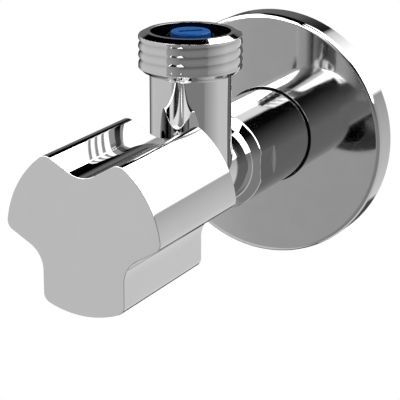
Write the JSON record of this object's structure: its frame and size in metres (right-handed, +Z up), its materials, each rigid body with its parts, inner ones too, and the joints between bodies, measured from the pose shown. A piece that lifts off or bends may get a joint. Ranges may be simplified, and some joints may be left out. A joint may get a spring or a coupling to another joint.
{
  "type": "angle valve",
  "caption": "Chromed angle valve with a sliding round wall plate, an upright threaded outlet with a check valve, and a lobed turning handle on a rising seat washer.",
  "frame": {"origin": "on the axis of the thread that goes into the wall, in the plane of the finished wall", "axes": "+Y into the wall along the valve's axis, +Z up along the outlet, -Y towards the user and the handle, +X to the user's right"},
  "size_m": [0.054, 0.0994, 0.0572],
  "materials": {
    "chrome": "polished chrome plating on brass",
    "brass": "turned brass",
    "steel": "stainless steel",
    "rubber": "black nitrile rubber",
    "blue_plastic": "blue moulded plastic, glossy",
    "white_plastic": "white acetal",
    "grey_plastic": "grey moulded plastic"
  },
  "bodies": {
    "body": {"valve_body": "chrome", "bonnet": "brass", "bonnet_o_ring": "rubber", "check_cage": "blue_plastic", "check_seat_ring": "white_plastic", "check_o_ring": "rubber", "check_spring": "steel", "outlet_clip": "steel"},
    "handle_set": {"handle": "chrome", "handle_insert": "grey_plastic", "spindle": "brass", "spindle_o_ring_rear": "rubber", "spindle_o_ring_front": "rubber", "thrust_washer": "white_plastic", "spindle_circlip": "steel"},
    "piston_set": {"piston": "brass", "seat_washer": "rubber", "washer_screw": "steel"},
    "wall_plate": {"rosette": "chrome", "rosette_grip_ring": "rubber"},
    "check_plunger_set": {"check_plunger": "grey_plastic", "check_seal": "rubber"}
  },
  "joints": [
    {"name": "handle_turn", "type": "hinge", "parent": "body", "child": "handle_set", "pos_m": [0, -0.0703, 0], "axis": [0, -1, 0], "range_deg": [0, 900]},
    {"name": "piston_slide", "type": "slide", "parent": "body", "child": "piston_set", "axis": [0, -1, 0], "range_m": [0, 0.00375]},
    {"name": "wall_plate_slide", "type": "slide", "parent": "body", "child": "wall_plate", "axis": [0, -1, 0], "range_m": [0, 0.0165]},
    {"name": "check_valve_lift", "type": "slide", "parent": "body", "child": "check_plunger_set", "axis": [0, 0, 1], "range_m": [0, 0.003], "stiffness_N_per_m": 25, "springref_m": -0.004, "deforming": ["check_spring"]}
  ],
  "couplings": [
    {"joint": "piston_slide", "follows": "handle_turn", "m_per_rad": 0.00023873}
  ]
}
